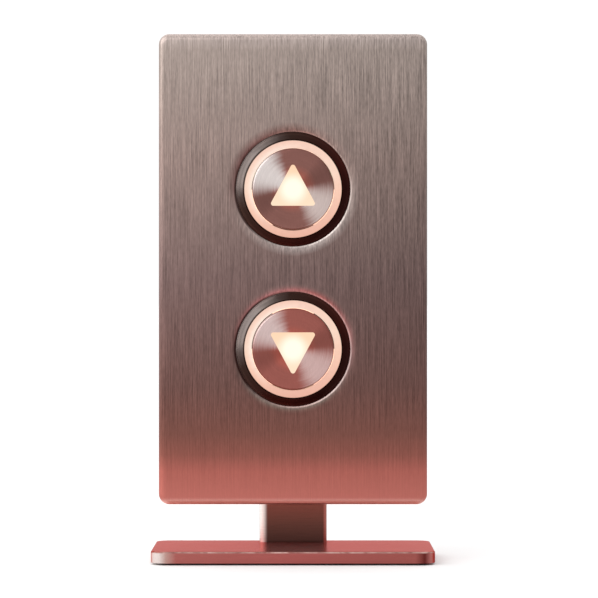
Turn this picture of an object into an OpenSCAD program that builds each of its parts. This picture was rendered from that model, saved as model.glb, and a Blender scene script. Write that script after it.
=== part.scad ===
// Elevator call button panel on a desk stand.
// Sizes are in millimetres. +Z is up and the panel faces -Y.
// The origin is on the desk, under the middle of the base plate.

/* [Panel] */
// Width across the panel's side walls
panel_w = 93.6; // [90:0.2:120]
// Height of the panel
panel_h = 164; // [160:0.2:220]
// Depth from the panel's front face to the back of its cover
panel_d = 25; // [25:0.5:45]
// Thickness of the panel's steel sheet
sheet_t = 1.5; // [1.2:0.1:2]
// Corner radius of the panel seen from the front
corner_r = 3.7; // [3.2:0.1:8]
// Inside radius of the bend between the front face and the walls
bend_in_r = 0.5; // [0.3:0.1:1.5]
// Height of the panel's lower edge above the base plate
panel_lift = 15; // [8:0.1:40]
// Gap between the rear cover and the panel's walls
cover_gap = 0.3; // [0.1:0.05:0.6]

/* [Stand] */
// Width of the base plate
base_w = 97.8; // [90:0.2:140]
// Depth of the base plate from front to back
base_d = 50; // [46:0.5:90]
// Thickness of the base plate
base_t = 4; // [3:0.1:8]
// Corner radius of the base plate seen from above
base_corner_r = 5; // [2:0.1:12]
// Radius along the base plate's top edge
base_edge_r = 0.5; // [0.2:0.1:1.5]
// Thickness of the foot pad under the base plate
pad_t = 0.5; // [0.3:0.1:3]
// Distance from the base plate's edge in to the foot pad's edge
pad_inset = 3; // [0.5:0.1:4]
// Width of the post
post_w = 24; // [18:0.5:36]
// Thickness of the post
post_t = 6; // [5:0.1:9]
// Length of the post above the base plate
post_l = 90; // [80:0.5:110]
// Radius of the post's upright edges
post_edge_r = 1.8; // [0.5:0.1:2.3]
// Radius of the post's two top corners
post_top_r = 5; // [2:0.5:8]
// Distance from the post's back to the base plate's back edge
post_inset = 2; // [0.5:0.1:10]

/* [Buttons] */
// Distance between the two button centres
button_pitch = 55.7; // [54:0.1:70]
// How far a button travels when it is pressed
travel = 1.5; // [0.8:0.1:2]
// Outside diameter of the bezel
bezel_d = 39.2; // [38.8:0.2:42]
// Height of the bezel's inner edge above the front face
bezel_rise = 1.4; // [0.8:0.1:2]
// Depth of the bezel's outer edge below the front face
bezel_sink = 0.3; // [0.1:0.05:0.6]
// Radius of the bezel's crowned face
bezel_crown_r = 14; // [6:0.5:20]
// Outside diameter of the lit ring
halo_d = 33.7; // [33:0.1:35]
// Height of the lit ring above the front face
halo_rise = 1.1; // [0.6:0.1:1.6]
// Diameter of the button cap
cap_d = 28.4; // [28:0.1:29.4]
// Height of the cap above the front face
cap_rise = 2; // [1.5:0.1:3]
// Radius of the cap's rounded edge
cap_edge_r = 0.9; // [0.3:0.1:1.2]
// Width of the dished lip round a button hole
dish_w = 3.1; // [1.5:0.1:4]
// Depth of the dished lip at the hole's edge
dish_drop = 0.45; // [0.2:0.05:0.6]
// Radius of the dished lip's rounded face
dish_crown_r = 12; // [10:0.5:14]

/* [Arrows] */
// Width of an arrow
arrow_w = 15.2; // [12:0.1:17]
// Height of an arrow
arrow_h = 14.2; // [12:0.1:15]
// Radius of an arrow's corners
arrow_r = 0.8; // [0.3:0.1:1.5]
// Distance from the button's centre to the arrow's straight side
arrow_drop = 5.8; // [4:0.1:6.5]

/* [Button insides] */
// Thickness of the bezel's rear flange
bezel_flange_t = 1.2; // [0.8:0.1:1.6]
// Thickness of the lit ring's rear flange
halo_flange_t = 1.5; // [1:0.1:2]
// Thickness of the cap's face
cap_face_t = 1.4; // [1:0.1:1.6]
// Thickness of the cap's skirt
cap_skirt_t = 0.9; // [0.6:0.1:1.2]
// Depth of the cap's skirt behind the front face
cap_skirt_d = 2.6; // [1.5:0.1:3]
// Thickness of the arrow lens's flange
lens_flange_t = 1; // [0.6:0.1:1.2]
// Diameter of the arrow lens's flange
lens_flange_d = 21; // [20:0.1:23]
// Depth of the plunger's clear web behind the front face
plunger_web_d = 3.5; // [3:0.1:4]
// Thickness of the plunger's stop lugs
lug_t = 1.2; // [0.8:0.1:1.6]
// Reach of the stop lugs beyond the cap's edge
lug_reach = 1.55; // [1:0.05:2.2]
// Angle that each stop lug covers
lug_angle = 60; // [40:1:70]
// Outside diameter of the plunger's skirt
skirt_d = 24.2; // [23.6:0.1:24.6]
// Wall of the plunger's skirt
skirt_t = 1.3; // [1:0.1:1.4]
// Length of the plunger's skirt inside the guide tube
skirt_hold = 3; // [2:0.1:4]
// Diameter of the plunger's stem
stem_d = 5; // [3.6:0.1:6]
// Wall of the guide tube
guide_t = 1.65; // [1.2:0.05:1.8]
// Wall of the housing's cup
cup_t = 2.2; // [1.4:0.1:2.6]
// Thickness of the housing's floor
floor_t = 1.8; // [1.4:0.1:2.4]
// Diameter of the light opening in the housing's floor
floor_opening_d = 17; // [16.6:0.1:17.8]
// Distance from the button's centre to a fixing stud
stud_x = 30; // [29.5:0.5:34]
// Wire diameter of the return spring
spring_wire = 0.9; // [0.6:0.05:1]
// Mean diameter of the return spring
spring_d = 19.6; // [19.4:0.1:19.8]
// Number of turns of the return spring
spring_turns = 5; // [4:0.5:6]
// Width of the switch body
switch_w = 7; // [6:0.1:7.4]
// Height of the switch body above the board
switch_h = 3.5; // [3.2:0.1:4]
// Diameter of the switch plunger
switch_pin_d = 3.2; // [2:0.1:3.4]
// Number of lamps behind the lit ring
halo_lamps = 8; // [4:1:8]
// Number of lamps behind the arrow
arrow_lamps = 3; // [2:1:3]
// Width of one lamp, measured out from the button's centre
lamp_w = 2.4; // [1.6:0.1:2.6]
// Length of one lamp
lamp_l = 3; // [2:0.1:3.2]
// Height of one lamp above the board
lamp_h = 1.4; // [0.8:0.1:1.8]

/* [Board] */
// Width of the circuit board
board_w = 64; // [62:1:80]
// Height of the circuit board
board_h = 118; // [116:1:130]
// Thickness of the circuit board
board_t = 1.6; // [1:0.1:1.6]
// Width of the terminal block
terminal_w = 20; // [16:0.5:22]
// Length of the terminal block, seen from the back
terminal_l = 8; // [6:0.5:9]
// Gap between the terminal block and the rear cover
terminal_gap = 1.3; // [0.5:0.1:2]
// Number of wires that the terminal block takes
terminal_ways = 4; // [2:1:5]
// Distance from the panel's middle to the right to the terminal block's middle
terminal_right = 20; // [17:0.5:21]
// Distance from the panel's middle down to the terminal block's middle
terminal_below = 50; // [48:0.5:52]
// Distance from the panel's right side in to the cable grommet's middle
grommet_side = 20.7; // [20:0.1:26]
// Distance from the panel's lower edge up to the cable grommet's middle
grommet_up = 15.8; // [12:0.1:18]
// Bore of the cable grommet
grommet_bore_d = 5; // [3:0.1:7]

/* [Fasteners] */
// Thread diameter of the screws in the post
post_screw_d = 4; // [3:0.5:5]
// Thread diameter of the screws under the base plate
base_screw_d = 3; // [3:0.5:4]
// Distance between the two screws under the base plate
base_screw_pitch = 14; // [10:0.5:16]
// Thread diameter of the rear cover's screws
cover_screw_d = 3; // [2.5:0.5:4]
// Thread diameter of the studs, their nuts and the board's screws
inner_screw_d = 3; // [2.5:0.5:3]
// Height of the lower post screw above the base plate
post_screw_low = 35.5; // [32:0.5:40]
// Height of the upper post screw above the base plate
post_screw_high = 73.5; // [60:0.5:74]

/* [Fits] */
// Gap round a piece that moves
run_gap = 0.25; // [0.2:0.01:0.3]
// Gap round a piece that stays where it is fitted
fit_gap = 0.1; // [0.05:0.01:0.15]

/* [Hidden] */
$fn = 64;

// Colours
steel = "#a39692";
dark_steel = "#4a4341";
base_steel = "#c17a72";
post_steel = "#6b4038";
glow = "#fbd6bc";
arrow_glow = "#fff3d8";
clear_plastic = "#e8e4dc";
black_plastic = "#222224";
board_green = "#1f5a3c";
rubber = "#1a1a1a";
zinc = "#b9bcc0";
brass = "#b8964a";
terminal_green = "#2f6b4a";
capacitor_can = "#8f9499";

// How far a cutting shape runs past the face that it cuts
cut = 1;

// Small widths of the button's pieces
hole_gap = 0.3;
lip_chamfer = 0.1;
bezel_flange_w = 3;
bezel_bevel = 0.4;
bezel_land = 0.2;
edge_break = 0.2;
halo_flange_w = 1.9;
halo_ledge_w = 0.7;
housing_rim_w = 2.5;
housing_rim_t = 1.3;
floor_gap = 0.7;
lens_inset = 0.05;
lug_step = 0.2;
lamp_margin = 0.8;
window_gap = 0.3;
rib_t = 1.6;
web_t = 2;
web_step = 1;
ear_t = 3;
ear_wall = 2.5;
ear_neck_w = 6.8;
boss_wall = 1.5;
boss_sink = 1;
switch_pin_hold = 1.2;

// Heights and places of the stand and the panel
base_top = pad_t + base_t;
post_back = base_d / 2 - post_inset;
post_front = post_back - post_t;
post_mid = post_back - post_t / 2;
panel_front = post_front - panel_d;
panel_mid = base_top + panel_lift + panel_h / 2;
cover_front = panel_d - sheet_t;
bend_r = bend_in_r + sheet_t;
button_y = button_pitch / 2;

// Radii of one button, from its middle out
cap_r = cap_d / 2;
halo_in_r = cap_r + run_gap;
halo_r = halo_d / 2;
bezel_in_r = halo_r + fit_gap;
bezel_r = bezel_d / 2;
hole_r = bezel_r + hole_gap;
dish_r = hole_r + dish_w;
bezel_flange_r = bezel_r + bezel_flange_w;
halo_flange_r = halo_r + halo_flange_w;
core_r = cap_r - cap_skirt_t - fit_gap;
skirt_r = skirt_d / 2;
guide_in_r = skirt_r + run_gap;
guide_r = guide_in_r + guide_t;
cup_in_r = halo_flange_r - halo_ledge_w;
cup_r = cup_in_r + cup_t;
flange_r = bezel_flange_r + housing_rim_w;
lug_r = cap_r + lug_reach;
lug_root_r = skirt_r - skirt_t / 2;
halo_lamp_r = (guide_r + cup_in_r) / 2;
arrow_lamp_r = floor_opening_d / 2 - lamp_w / 2 - lamp_margin;

// Depths of one button, measured in from the panel's front face
halo_seat = sheet_t + bezel_flange_t;
halo_back = halo_seat + halo_flange_t;
lug_front = halo_back + run_gap;
lug_back = lug_front + lug_t;
guide_front = lug_back + travel + run_gap;
skirt_back = guide_front + skirt_hold;
floor_front = skirt_back + travel + floor_gap;
board_front = floor_front + floor_t;
board_back = board_front + board_t;
switch_front = board_front - switch_h;
switch_tip = switch_front - travel - run_gap;
stem_back = switch_tip - fit_gap;
switch_pin_back = switch_front + switch_pin_hold;
flange_back = halo_back + housing_rim_t;
ear_back = sheet_t + ear_t;

lens_seat = cap_rise - cap_face_t - lens_inset;

// Bosses, brackets and fasteners
ear_r = inner_screw_d / 2 + ear_wall;
boss_r = inner_screw_d / 2 + boss_wall;
boss_at = (flange_r + boss_r - boss_sink) / sqrt(2);
boss_hole_l = 8;
board_screw_hold = 7;
board_screw_l = board_t + board_screw_hold;
stud_l = 7;
bracket_t = 1.5;
bracket_w = 12;
bracket_foot = 9;
bracket_leg = 8;
bracket_edge = 4;
bracket_x = panel_w / 2 - sheet_t;
cover_screw_end = 2.5;
cover_screw_l = sheet_t + bracket_t + cover_screw_end;
bracket_y = panel_h / 2 - corner_r - bracket_w / 2 - bracket_edge;
cover_screw_x = bracket_x - bracket_foot / 2 - bracket_t / 2;
press_nut_t = 3;
press_nut_wall = 0.8;
press_nut_neck_r = post_screw_d / 2 + press_nut_wall;
grommet_at = [panel_w / 2 - grommet_side, grommet_up - panel_h / 2];
grommet_lip_t = 1.8;
grommet_lip = 2.5;
grommet_neck = 2;
base_screw_hold = 9;
base_screw_l = base_t + base_screw_hold;
post_hole_l = 12;

function csk_r(d) = 0.95 * d;
function csk_h(d) = csk_r(d) - d / 2;
function button_head_r(d) = 0.95 * d;
function button_head_h(d) = 0.55 * d;
function socket_d(d) = 0.72 * d;
function nut_r(d) = 1.06 * d;
function nut_h(d) = 0.8 * d;
function post_screw_y(above_base) = base_top + above_base - panel_mid;

// Centre of the arc of radius rho from p to q that lies on the left of the way from p to q
function arc_centre(p, q, rho) =
    let (way = q - p, l = norm(way))
    (p + q) / 2 + [-way[1], way[0]] / l * sqrt(rho * rho - l * l / 4);

// A frame on the panel's front face: x to the right, y up, z out towards the viewer
module on_panel() {
    translate([0, panel_front, panel_mid]) rotate([90, 0, 0]) children();
}

// The same frame with its origin at a button's centre: way is 1 for up and -1 for down
module on_button(way) {
    on_panel() translate([0, way * button_y, 0]) children();
}

// A round bar between two depths behind the front face
module bar(r, front, back) {
    translate([0, 0, -back]) cylinder(r = r, h = back - front);
}

// A round tube between two depths behind the front face
module tube(r, bore, front, back) {
    difference() {
        bar(r, front, back);
        bar(bore, front - cut, back + cut);
    }
}

// A square block between two depths behind the front face
module block(size, front, back) {
    translate([-size[0] / 2, -size[1] / 2, -back]) cube([size[0], size[1], back - front]);
}

module quarter_disc(r) {
    intersection() {
        circle(r);
        square(2 * r);
    }
}

module rounded_rect(w, h, r) {
    square([w - 2 * r, h], center = true);
    square([w, h - 2 * r], center = true);
    for (i = [0 : 3]) {
        across = i % 2 == 0 ? w : h;
        along = i % 2 == 0 ? h : w;
        rotate(90 * i) translate([across / 2 - r, along / 2 - r]) quarter_disc(r);
    }
}

// Section of an edge with a round top corner: it reaches out from 0 and down from 0
module edge_section(reach, round_r, depth) {
    translate([0, -depth]) square([reach, depth - round_r]);
    translate([0, -round_r]) square([reach - round_r, round_r]);
    translate([reach - round_r, -round_r]) quarter_disc(round_r);
}

// Carries a section round a rectangle with corners of radius r
module carry_round(w, h, r) {
    for (i = [0 : 3]) {
        across = i % 2 == 0 ? w : h;
        along = i % 2 == 0 ? h : w;
        rotate(90 * i) translate([across / 2 - r, 0, 0]) {
            rotate([90, 0, 0]) linear_extrude(along - 2 * r, center = true) children();
            translate([0, along / 2 - r, 0]) rotate_extrude(angle = 90) children();
        }
    }
}

module hex_socket(d) {
    translate([0, 0, -0.5 * d]) cylinder(d = socket_d(d), h = d, $fn = 6);
}

// A countersunk screw with its head's flat at 0, pointing down
module countersunk_screw(d, l) {
    difference() {
        union() {
            translate([0, 0, -csk_h(d)]) cylinder(r1 = d / 2, r2 = csk_r(d), h = csk_h(d));
            translate([0, 0, -l]) cylinder(d = d, h = l - csk_h(d));
        }
        hex_socket(d);
    }
}

// The hole that a countersunk screw passes through, with room round the screw
module countersunk_hole(d, l) {
    wide = d / 2 + fit_gap;
    head = csk_r(d) + fit_gap;
    translate([0, 0, wide - head]) cylinder(r1 = wide, r2 = head, h = head - wide);
    translate([0, 0, -l]) cylinder(r = wide, h = l);
    cylinder(r = head, h = cut);
}

// A round-headed screw with its head's seat at 0, pointing down
module button_screw(d, l) {
    head_r = button_head_r(d);
    head_h = button_head_h(d);
    crown_r = 1.3 * head_r;
    difference() {
        union() {
            rotate_extrude() intersection() {
                square([head_r, 2 * head_h]);
                translate([0, head_h - crown_r]) circle(crown_r);
            }
            translate([0, 0, -l]) cylinder(d = d, h = l);
        }
        translate([0, 0, head_h]) hex_socket(d);
    }
}

// The arrow's outline, pointing up or down, grown by a margin
module arrow_outline(way, margin) {
    r = arrow_r + margin;
    side_x = arrow_w / 2 - arrow_r;
    side_y = way * (arrow_r - arrow_drop);
    tip_y = way * (arrow_h - arrow_drop - arrow_r);
    hull() {
        for (x = [-side_x, side_x]) translate([x, side_y]) circle(r, $fn = 32);
        translate([0, tip_y]) circle(r, $fn = 32);
    }
}

// The panel

module dished_hole() {
    rim = [dish_r, 0];
    lip = [hole_r, -dish_drop];
    bar(hole_r, -cut, sheet_t + cut);
    rotate_extrude() difference() {
        translate([0, -dish_drop]) square([dish_r, dish_drop + cut]);
        translate(arc_centre(rim, lip, dish_crown_r)) circle(dish_crown_r, $fn = 360);
    }
    translate([0, 0, -dish_drop - lip_chamfer])
        cylinder(r1 = hole_r, r2 = hole_r + 2 * lip_chamfer, h = 2 * lip_chamfer);
}

module faceplate() {
    color(steel) on_panel() difference() {
        union() {
            carry_round(panel_w, panel_h, corner_r) difference() {
                edge_section(corner_r, bend_r, panel_d);
                translate([0, -sheet_t]) edge_section(corner_r - sheet_t, bend_in_r, panel_d);
            }
            block([panel_w - 2 * corner_r, panel_h - 2 * corner_r], 0, sheet_t);
        }
        for (way = [1, -1]) translate([0, way * button_y, 0]) dished_hole();
    }
}

module rear_cover() {
    inset = 2 * (sheet_t + cover_gap);
    cover_r = corner_r - sheet_t - cover_gap;
    color(steel) on_panel() difference() {
        translate([0, 0, -panel_d]) linear_extrude(sheet_t)
            rounded_rect(panel_w - inset, panel_h - inset, cover_r);
        for (x = [-1, 1], y = [-1, 1]) translate([x * cover_screw_x, y * bracket_y, 0])
            bar(cover_screw_d / 2 + 2 * fit_gap, cover_front - cut, panel_d + cut);
        for (h = [post_screw_low, post_screw_high]) translate([0, post_screw_y(h), 0])
            bar(press_nut_neck_r + fit_gap, cover_front - cut, panel_d + cut);
        translate(grommet_at)
            bar(grommet_bore_d / 2 + grommet_neck + fit_gap, cover_front - cut, panel_d + cut);
    }
}

// Angle brackets welded inside the walls, which the rear cover screws on to
module cover_brackets() {
    color(zinc) on_panel() for (x = [-1, 1], y = [-1, 1]) difference() {
        union() {
            translate([x * (bracket_x - bracket_t / 2), y * bracket_y, 0])
                block([bracket_t, bracket_w], cover_front - bracket_leg, cover_front);
            translate([x * (bracket_x - bracket_t - bracket_foot / 2), y * bracket_y, 0])
                block([bracket_foot, bracket_w], cover_front - bracket_t, cover_front);
        }
        translate([x * cover_screw_x, y * bracket_y, 0])
            bar(cover_screw_d / 2 + fit_gap, cover_front - bracket_t - cut, cover_front + cut);
    }
}

module cover_screws() {
    color(zinc) on_panel() for (x = [-1, 1], y = [-1, 1])
        translate([x * cover_screw_x, y * bracket_y, -panel_d]) rotate([180, 0, 0])
            button_screw(cover_screw_d, cover_screw_l);
}

module weld_studs() {
    color(zinc) on_panel() for (x = [-stud_x, stud_x], y = [-button_y, button_y])
        translate([x, y, 0]) bar(inner_screw_d / 2, sheet_t, sheet_t + stud_l);
}

module stud_nuts() {
    color(zinc) on_panel() for (x = [-stud_x, stud_x], y = [-button_y, button_y])
        translate([x, y, -ear_back - nut_h(inner_screw_d)]) difference() {
            cylinder(r = nut_r(inner_screw_d), h = nut_h(inner_screw_d), $fn = 6);
            translate([0, 0, -cut])
                cylinder(r = inner_screw_d / 2 + fit_gap, h = nut_h(inner_screw_d) + 2 * cut);
        }
}

// Where the board's four screws go: two bosses on each housing, across from each other
module at_bosses() {
    for (side = [-1, 1]) translate([side * boss_at, side * boss_at, 0]) children();
}

module main_board() {
    hole_d = inner_screw_d + 4 * fit_gap;
    color(board_green) on_panel() difference() {
        block([board_w, board_h], board_front, board_back);
        for (way = [1, -1]) translate([0, way * button_y, 0]) at_bosses()
            bar(hole_d / 2, board_front - cut, board_back + cut);
    }
}

module board_screws() {
    color(zinc) for (way = [1, -1]) on_button(way) at_bosses()
        translate([0, 0, -board_back]) rotate([180, 0, 0]) button_screw(inner_screw_d, board_screw_l);
}

terminal_at = [terminal_right, -terminal_below];
terminal_h = cover_front - board_back - terminal_gap;
terminal_pitch = terminal_w / terminal_ways;
function terminal_x(i) = (i - (terminal_ways - 1) / 2) * terminal_pitch;
terminal_port_w = 0.6 * terminal_pitch;
terminal_screw_r = 0.27 * terminal_pitch;
terminal_screw_h = 1.5;
terminal_well = 2.2;
terminal_floor = 1;
terminal_port_h = terminal_h - terminal_floor - terminal_well;
terminal_slot = [0.5, 0.6];

module terminal_block() {
    back = board_back + terminal_h;
    port_front = board_back + terminal_floor;
    color(terminal_green) on_panel() translate(terminal_at) difference() {
        block([terminal_w, terminal_l], board_back, back);
        for (i = [0 : terminal_ways - 1]) translate([terminal_x(i), 0, 0]) {
            translate([0, -terminal_l / 2, 0])
                block([terminal_port_w, terminal_l], port_front, port_front + terminal_port_h);
            bar(terminal_screw_r + fit_gap, back - terminal_well, back + cut);
        }
    }
}

module terminal_screws() {
    seat = board_back + terminal_h - terminal_well;
    color(zinc) on_panel() translate(terminal_at)
        for (i = [0 : terminal_ways - 1]) translate([terminal_x(i), 0, 0])
            difference() {
                bar(terminal_screw_r, seat, seat + terminal_screw_h);
                block([2 * terminal_screw_r + cut, terminal_slot[0]],
                    seat + terminal_screw_h - terminal_slot[1], seat + terminal_screw_h + cut);
            }
}

chip_size = [10, 6, 1.8];
chip_at = [-18, -3];
chip_legs = 7;
chip_leg = [0.5, 1.2, 0.4];

module driver_chip() {
    color(black_plastic) on_panel() translate(chip_at) {
        block(chip_size, board_back + chip_leg[2] / 2, board_back + chip_size[2]);
        for (i = [0 : chip_legs - 1])
            translate([(i - (chip_legs - 1) / 2) * chip_size[0] / chip_legs, 0, 0])
                block([chip_leg[0], chip_size[1] + 2 * chip_leg[1]], board_back, board_back + chip_leg[2]);
    }
}

capacitor_r = 3;
capacitor_l = 4.6;
capacitor_foot = 1;
capacitor_foot_w = 6.3;
capacitor_at = [[22, 0], [22, 10]];

module capacitors() {
    color(capacitor_can) on_panel() for (place = capacitor_at) translate(place) {
        block([capacitor_foot_w, capacitor_foot_w], board_back, board_back + capacitor_foot);
        bar(capacitor_r, board_back + capacitor_foot, board_back + capacitor_l);
    }
}

// Rubber ring in the rear cover that a supply cable passes through
module cable_grommet() {
    bore_r = grommet_bore_d / 2;
    neck_r = bore_r + grommet_neck;
    lip_r = neck_r + grommet_lip;
    color(rubber) on_panel() translate(grommet_at) difference() {
        union() {
            bar(lip_r, cover_front - grommet_lip_t, cover_front);
            bar(neck_r, cover_front, panel_d);
            bar(lip_r, panel_d, panel_d + grommet_lip_t);
        }
        bar(bore_r, cover_front - grommet_lip_t - cut, panel_d + grommet_lip_t + cut);
    }
}

// Threaded nuts pressed into the rear cover for the post's screws
module press_nuts() {
    color(zinc) on_panel() for (h = [post_screw_low, post_screw_high])
        translate([0, post_screw_y(h), 0]) difference() {
            union() {
                bar(post_screw_d, cover_front - press_nut_t, cover_front);
                bar(press_nut_neck_r, cover_front, panel_d - fit_gap);
            }
            bar(post_screw_d / 2 + fit_gap, cover_front - press_nut_t - cut, panel_d + cut);
        }
}

// The stand

// The post seen from the front, with its foot at 0 and its top corners round
module post_outline() {
    top_x = post_w / 2 - post_top_r;
    top_y = post_l - post_top_r;
    translate([-post_w / 2 - cut, 0]) square([post_w + 2 * cut, top_y]);
    translate([-top_x, top_y]) square([2 * top_x, post_top_r]);
    translate([top_x, top_y]) quarter_disc(post_top_r);
    translate([-top_x, top_y]) rotate(90) quarter_disc(post_top_r);
}

module post() {
    color(post_steel) difference() {
        intersection() {
            translate([0, post_mid, base_top]) linear_extrude(post_l)
                rounded_rect(post_w, post_t, post_edge_r);
            translate([0, post_back + cut, base_top]) rotate([90, 0, 0])
                linear_extrude(post_t + 2 * cut) post_outline();
        }
        for (h = [post_screw_low, post_screw_high]) translate([0, post_back, base_top + h])
            rotate([-90, 0, 0]) countersunk_hole(post_screw_d, post_t + cut);
        for (x = [-1, 1]) translate([x * base_screw_pitch / 2, post_mid, base_top - cut])
            cylinder(r = base_screw_d / 2 + fit_gap, h = post_hole_l + cut);
    }
}

module post_screws() {
    color(zinc) for (h = [post_screw_low, post_screw_high]) translate([0, post_back, base_top + h])
        rotate([-90, 0, 0]) countersunk_screw(post_screw_d, post_t + sheet_t + press_nut_t);
}

module base_plate() {
    color(base_steel) difference() {
        translate([0, 0, base_top]) {
            carry_round(base_w, base_d, base_corner_r) edge_section(base_corner_r, base_edge_r, base_t);
            block([base_w - 2 * base_corner_r, base_d - 2 * base_corner_r], 0, base_t);
        }
        for (x = [-1, 1]) translate([x * base_screw_pitch / 2, post_mid, pad_t])
            rotate([180, 0, 0]) countersunk_hole(base_screw_d, base_t + cut);
    }
}

module base_screws() {
    color(zinc) for (x = [-1, 1])
        translate([x * base_screw_pitch / 2, post_mid, pad_t])
            rotate([180, 0, 0]) countersunk_screw(base_screw_d, base_screw_l);
}

module foot_pad() {
    pad_corner_r = max(base_corner_r - pad_inset, pad_t);
    color(rubber) linear_extrude(pad_t)
        rounded_rect(base_w - 2 * pad_inset, base_d - 2 * pad_inset, pad_corner_r);
}

// One button: way is 1 for up and -1 for down

module bezel(way) {
    outer = [bezel_r, -bezel_sink];
    inner = [bezel_in_r + bezel_bevel + bezel_land, bezel_rise];
    color(dark_steel) on_button(way) rotate_extrude() {
        intersection() {
            polygon([
                [bezel_in_r, -halo_seat], [bezel_r, -halo_seat], [bezel_r, bezel_rise],
                [bezel_in_r + bezel_bevel, bezel_rise], [bezel_in_r, bezel_rise - bezel_bevel]
            ]);
            translate(arc_centre(outer, inner, bezel_crown_r)) circle(bezel_crown_r, $fn = 360);
        }
        translate([bezel_in_r, -halo_seat]) square([bezel_flange_r - bezel_in_r, bezel_flange_t]);
    }
}

// Light guide: its front edge is the lit ring round the cap
module halo_ring(way) {
    color(glow) on_button(way) rotate_extrude() polygon([
        [halo_in_r, -halo_back], [halo_flange_r, -halo_back], [halo_flange_r, -halo_seat],
        [halo_r, -halo_seat], [halo_r, halo_rise - edge_break], [halo_r - edge_break, halo_rise],
        [halo_in_r + edge_break, halo_rise], [halo_in_r, halo_rise - edge_break]
    ]);
}

// Turned steel cup with the arrow cut through its face
module cap(way) {
    color(steel) on_button(way) difference() {
        rotate_extrude() difference() {
            translate([0, cap_rise]) edge_section(cap_r, cap_edge_r, cap_rise + cap_skirt_d);
            translate([0, -cap_skirt_d - cut])
                square([cap_r - cap_skirt_t, cap_rise - cap_face_t + cap_skirt_d + cut]);
        }
        translate([0, 0, cap_rise - cap_face_t - cut]) linear_extrude(cap_face_t + 2 * cut)
            arrow_outline(way, lens_inset);
    }
}

module arrow_lens(way) {
    color(arrow_glow) on_button(way) {
        translate([0, 0, lens_seat]) linear_extrude(cap_face_t) arrow_outline(way, 0);
        bar(lens_flange_d / 2, -lens_seat, lens_flange_t - lens_seat);
    }
}

// Clear carrier of the cap: stop lugs, a guided skirt and the stem that works the switch
module plunger(way) {
    recess = lens_flange_t - lens_seat + lens_inset;
    color(clear_plastic) on_button(way) difference() {
        rotate(90) {
            bar(core_r, -lens_seat, lug_back - lug_step);
            bar(skirt_r, lug_back - lug_step, skirt_back);
            for (i = [0 : 2]) rotate(120 * i - lug_angle / 2)
                rotate_extrude(angle = lug_angle) translate([lug_root_r, -lug_back])
                    square([lug_r - lug_root_r, lug_t]);
        }
        bar(lens_flange_d / 2 + fit_gap, -lens_seat - cut, recess);
        difference() {
            bar(skirt_r - skirt_t, plunger_web_d, skirt_back + cut);
            bar(stem_d / 2, plunger_web_d - cut, stem_back);
        }
    }
}

// Coil of round wire between the plunger's web and the housing's floor
spring_sides = 8;
spring_steps = 20;

module return_spring(way) {
    r = spring_wire / 2;
    front = plunger_web_d + fit_gap + r;
    back = floor_front - fit_gap - r;
    rings = spring_turns * spring_steps;
    function wire_point(i, j) =
        let (a = 360 * i / spring_steps, b = 360 * j / spring_sides, reach = spring_d / 2 + r * cos(b))
        [reach * cos(a), reach * sin(a), -back + (back - front) * i / rings + r * sin(b)];
    points = [for (i = [0 : rings], j = [0 : spring_sides - 1]) wire_point(i, j)];
    sides = [
        for (i = [0 : rings - 1], j = [0 : spring_sides - 1])
            let (a = i * spring_sides, b = a + spring_sides, k = (j + 1) % spring_sides)
            [a + j, a + k, b + k, b + j]
    ];
    first = [for (j = [spring_sides - 1 : -1 : 0]) j];
    last = [for (j = [0 : spring_sides - 1]) rings * spring_sides + j];
    color(zinc) on_button(way) polyhedron(points, concat([first], sides, [last]));
}

// Ribs beside the top lug, which keep the arrow upright
module key_ribs() {
    rib_in = guide_r + run_gap;
    rib_out = (cup_in_r + cup_r) / 2;
    rib_angle = lug_angle / 2 + asin((rib_t / 2 + 2 * run_gap) / rib_in);
    for (side = [-1, 1]) rotate(90 + side * rib_angle) translate([(rib_in + rib_out) / 2, 0, 0])
        block([rib_out - rib_in, rib_t], lug_front, floor_front + floor_t / 2);
}

// Moulded cup that clamps the bezel and the light guide to the sheet and guides the plunger
module housing(way) {
    color(black_plastic) on_button(way) difference() {
        union() {
            difference() {
                union() {
                    bar(flange_r, sheet_t, flange_back);
                    bar(cup_r, flange_back, board_front);
                    for (x = [-1, 1]) {
                        translate([x * stud_x, 0, 0]) bar(ear_r, sheet_t, ear_back);
                        translate([x * (cup_r + stud_x) / 2, 0, 0])
                            block([stud_x - cup_r, ear_neck_w], sheet_t, ear_back);
                    }
                    at_bosses() bar(boss_r, sheet_t, board_front);
                    rotate(45) block([2 * boss_at * sqrt(2), web_t],
                        sheet_t + web_step, board_front - web_step);
                }
                bar(bezel_flange_r + fit_gap, sheet_t - cut, halo_seat);
                bar(halo_flange_r + fit_gap, sheet_t - cut, halo_back);
                bar(cup_in_r, sheet_t - cut, floor_front);
            }
            tube(guide_r, guide_in_r, guide_front, floor_front);
            key_ribs();
        }
        bar(floor_opening_d / 2, floor_front - cut, board_front + cut);
        for (i = [0 : halo_lamps - 1]) rotate(360 * (i + 0.5) / halo_lamps) translate([halo_lamp_r, 0, 0])
            block([lamp_w + 2 * window_gap, lamp_l + 2 * window_gap],
                floor_front - cut, board_front + cut);
        for (x = [-1, 1]) translate([x * stud_x, 0, 0])
            bar(inner_screw_d / 2 + 2 * fit_gap, sheet_t - cut, ear_back + cut);
        at_bosses() bar(inner_screw_d / 2 + fit_gap, board_front - boss_hole_l, board_front + cut);
    }
}

module switch_body(way) {
    color(black_plastic) on_button(way) difference() {
        block([switch_w, switch_w], switch_front, board_front);
        bar(switch_pin_d / 2 + run_gap, switch_front - cut, switch_pin_back + travel + run_gap);
    }
}

module switch_plunger(way) {
    color(brass) on_button(way) bar(switch_pin_d / 2, switch_tip, switch_pin_back);
}

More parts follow.
